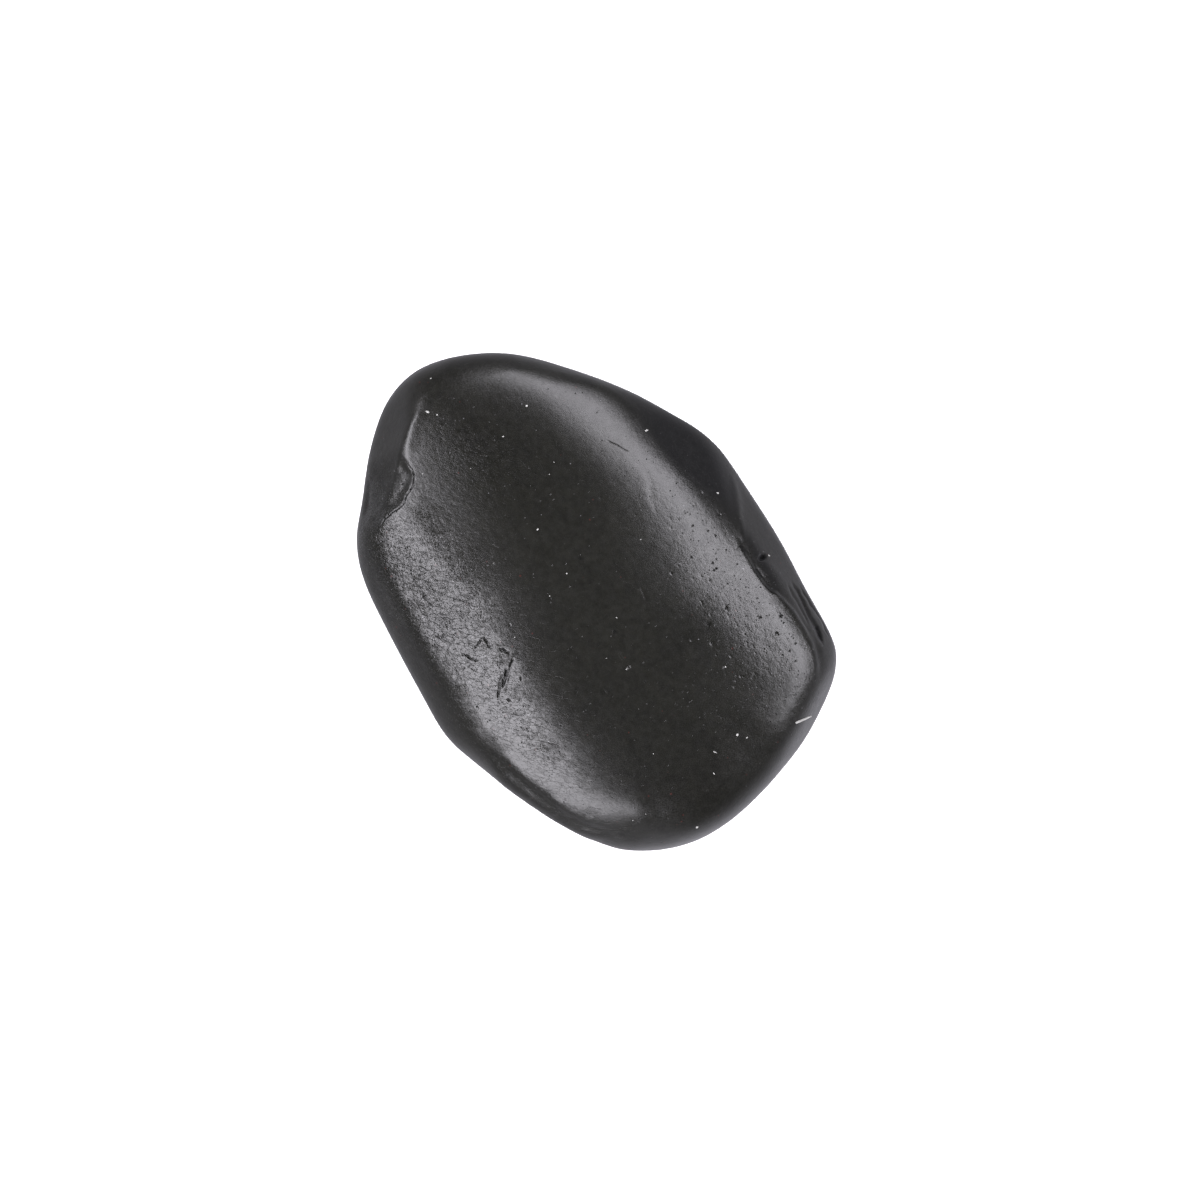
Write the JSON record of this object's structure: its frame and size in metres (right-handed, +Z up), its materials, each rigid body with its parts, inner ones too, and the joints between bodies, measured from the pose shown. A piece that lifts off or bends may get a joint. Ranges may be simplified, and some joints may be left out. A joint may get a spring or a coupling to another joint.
{
  "type": "basalt massage stone",
  "caption": "Smooth, flattened oval basalt pebble with softly faceted edges, held in the palm or laid warm on the body for massage.",
  "frame": {"origin": "on the resting face, under the middle of the stone's outline", "axes": "+X along the stone's length, +Y across its width, +Z up out of the surface that it rests on"},
  "size_m": [0.066, 0.047, 0.021],
  "materials": {
    "basalt": "river-worn, rubbed smooth and lightly oiled: satin, with fine grain and small pits"
  },
  "bodies": {
    "root": {"stone": "basalt"}
  },
  "joints": []
}
